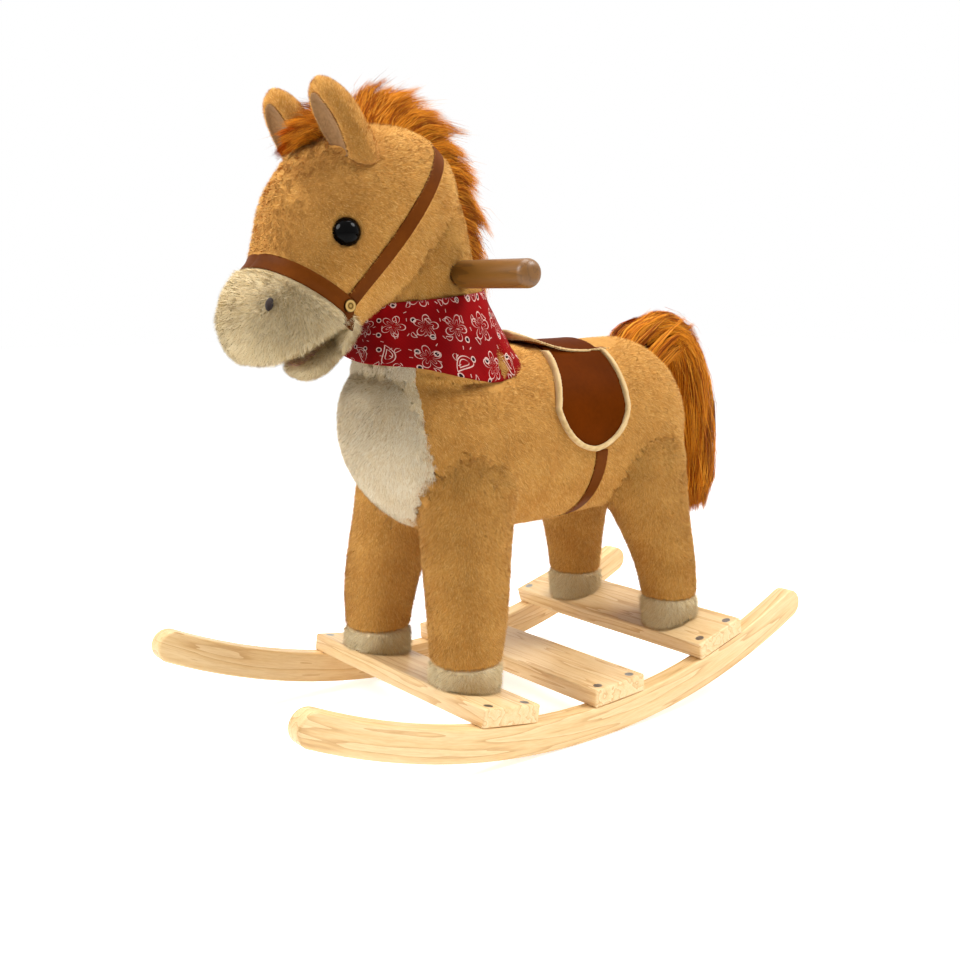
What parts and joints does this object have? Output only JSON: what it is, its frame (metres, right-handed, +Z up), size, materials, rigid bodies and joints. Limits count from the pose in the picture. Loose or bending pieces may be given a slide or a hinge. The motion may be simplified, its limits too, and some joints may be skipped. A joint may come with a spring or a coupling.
{
  "type": "plush rocking horse",
  "caption": "Stuffed tan horse with mane, saddle, bridle and bandana on a steel frame, standing on planks across bent wooden rockers; a child sits and rocks holding the wooden handle.",
  "frame": {"origin": "on the floor, under the middle of the rockers, halfway between them", "axes": "+X forward to the muzzle, +Y to the horse's left, +Z up"},
  "size_m": [0.6488, 0.326, 0.6169],
  "materials": {
    "pine": "satin",
    "beech_handle": "gloss",
    "plywood": "matte",
    "screw_steel": "satin",
    "frame_steel": "satin",
    "tan_plush": "matte",
    "cream_plush": "matte",
    "rust_pile": "matte",
    "ear_lining": "matte",
    "mouth_lining": "matte",
    "brown_leather": "satin",
    "cream_piping": "matte",
    "red_cotton": "matte",
    "black_eye": "gloss",
    "brass": "polished",
    "white_plastic": "matte",
    "grey_plastic": "matte",
    "cell_jacket": "satin"
  },
  "bodies": {
    "horse": {"left_rocker": "pine", "right_rocker": "pine", "front_plank": "pine", "footrest_plank": "pine", "rear_plank": "pine", "plank_screws": "screw_steel", "leg_bolts": "screw_steel", "handle_screws": "screw_steel", "hinge_pins": "screw_steel", "front_left_leg_tube": "frame_steel", "front_right_leg_tube": "frame_steel", "rear_left_leg_tube": "frame_steel", "rear_right_leg_tube": "frame_steel", "yoke_tubes": "frame_steel", "spine_tube": "frame_steel", "neck_tube": "frame_steel", "seat_board": "plywood", "left_handle": "beech_handle", "right_handle": "beech_handle", "body_plush": "tan_plush", "neck_plush": "tan_plush", "head_plush": "tan_plush", "left_ear": "tan_plush", "right_ear": "tan_plush", "front_left_leg_plush": "tan_plush", "front_right_leg_plush": "tan_plush", "rear_left_leg_plush": "tan_plush", "rear_right_leg_plush": "tan_plush", "chest_panel": "cream_plush", "muzzle_plush": "cream_plush", "front_hooves": "cream_plush", "rear_hooves": "cream_plush", "mane": "rust_pile", "ear_linings": "ear_lining", "mouth_lining": "mouth_lining", "noseband": "brown_leather", "headstall": "brown_leather", "saddle_flaps": "brown_leather", "saddle_seat": "brown_leather", "girth_strap": "brown_leather", "saddle_piping": "cream_piping", "bandana": "red_cotton", "left_eye": "black_eye", "right_eye": "black_eye", "conchos": "brass", "jaw_gearbox": "grey_plastic", "tail_gearbox": "grey_plastic", "ear_switch": "grey_plastic", "battery_case": "grey_plastic", "battery_cover": "grey_plastic", "battery_cells": "cell_jacket"},
    "jaw": {"jaw_plush": "cream_plush", "jaw_lining": "mouth_lining", "jaw_plate": "white_plastic"},
    "jaw_crank": {"jaw_crank": "white_plastic"},
    "tail": {"tail_hair": "rust_pile", "tail_core": "white_plastic"},
    "tail_crank": {"tail_crank": "white_plastic"},
    "ear_button": {"ear_button": "white_plastic"}
  },
  "joints": [
    {"name": "jaw_hinge", "type": "hinge", "parent": "horse", "child": "jaw", "pos_m": [0.187, 0, 0.412], "axis": [0, 1, 0], "range_deg": [-14, 8]},
    {"name": "jaw_crank_spin", "type": "hinge", "parent": "horse", "child": "jaw_crank", "pos_m": [0.18249, 0, 0.43761], "axis": [0, 1, 0], "range_deg": [-54.95, 31.61]},
    {"name": "tail_hinge", "type": "hinge", "parent": "horse", "child": "tail", "pos_m": [-0.188, 0, 0.35], "axis": [0, 0, 1], "range_deg": [-14, 14]},
    {"name": "tail_crank_spin", "type": "hinge", "parent": "horse", "child": "tail_crank", "pos_m": [-0.162, 0, 0.341], "axis": [0, 0, 1], "range_deg": [-54.95, 54.95]},
    {"name": "ear_button_press", "type": "slide", "parent": "horse", "child": "ear_button", "axis": [-0.88, 0.0642, 0.4706], "range_m": [0, 0.0015], "stiffness_N_per_m": 600}
  ],
  "couplings": [
    {"joint": "jaw_crank_spin", "follows": "jaw_hinge", "ratio": 3.8889},
    {"joint": "tail_crank_spin", "follows": "tail_hinge", "ratio": 3.8889}
  ]
}
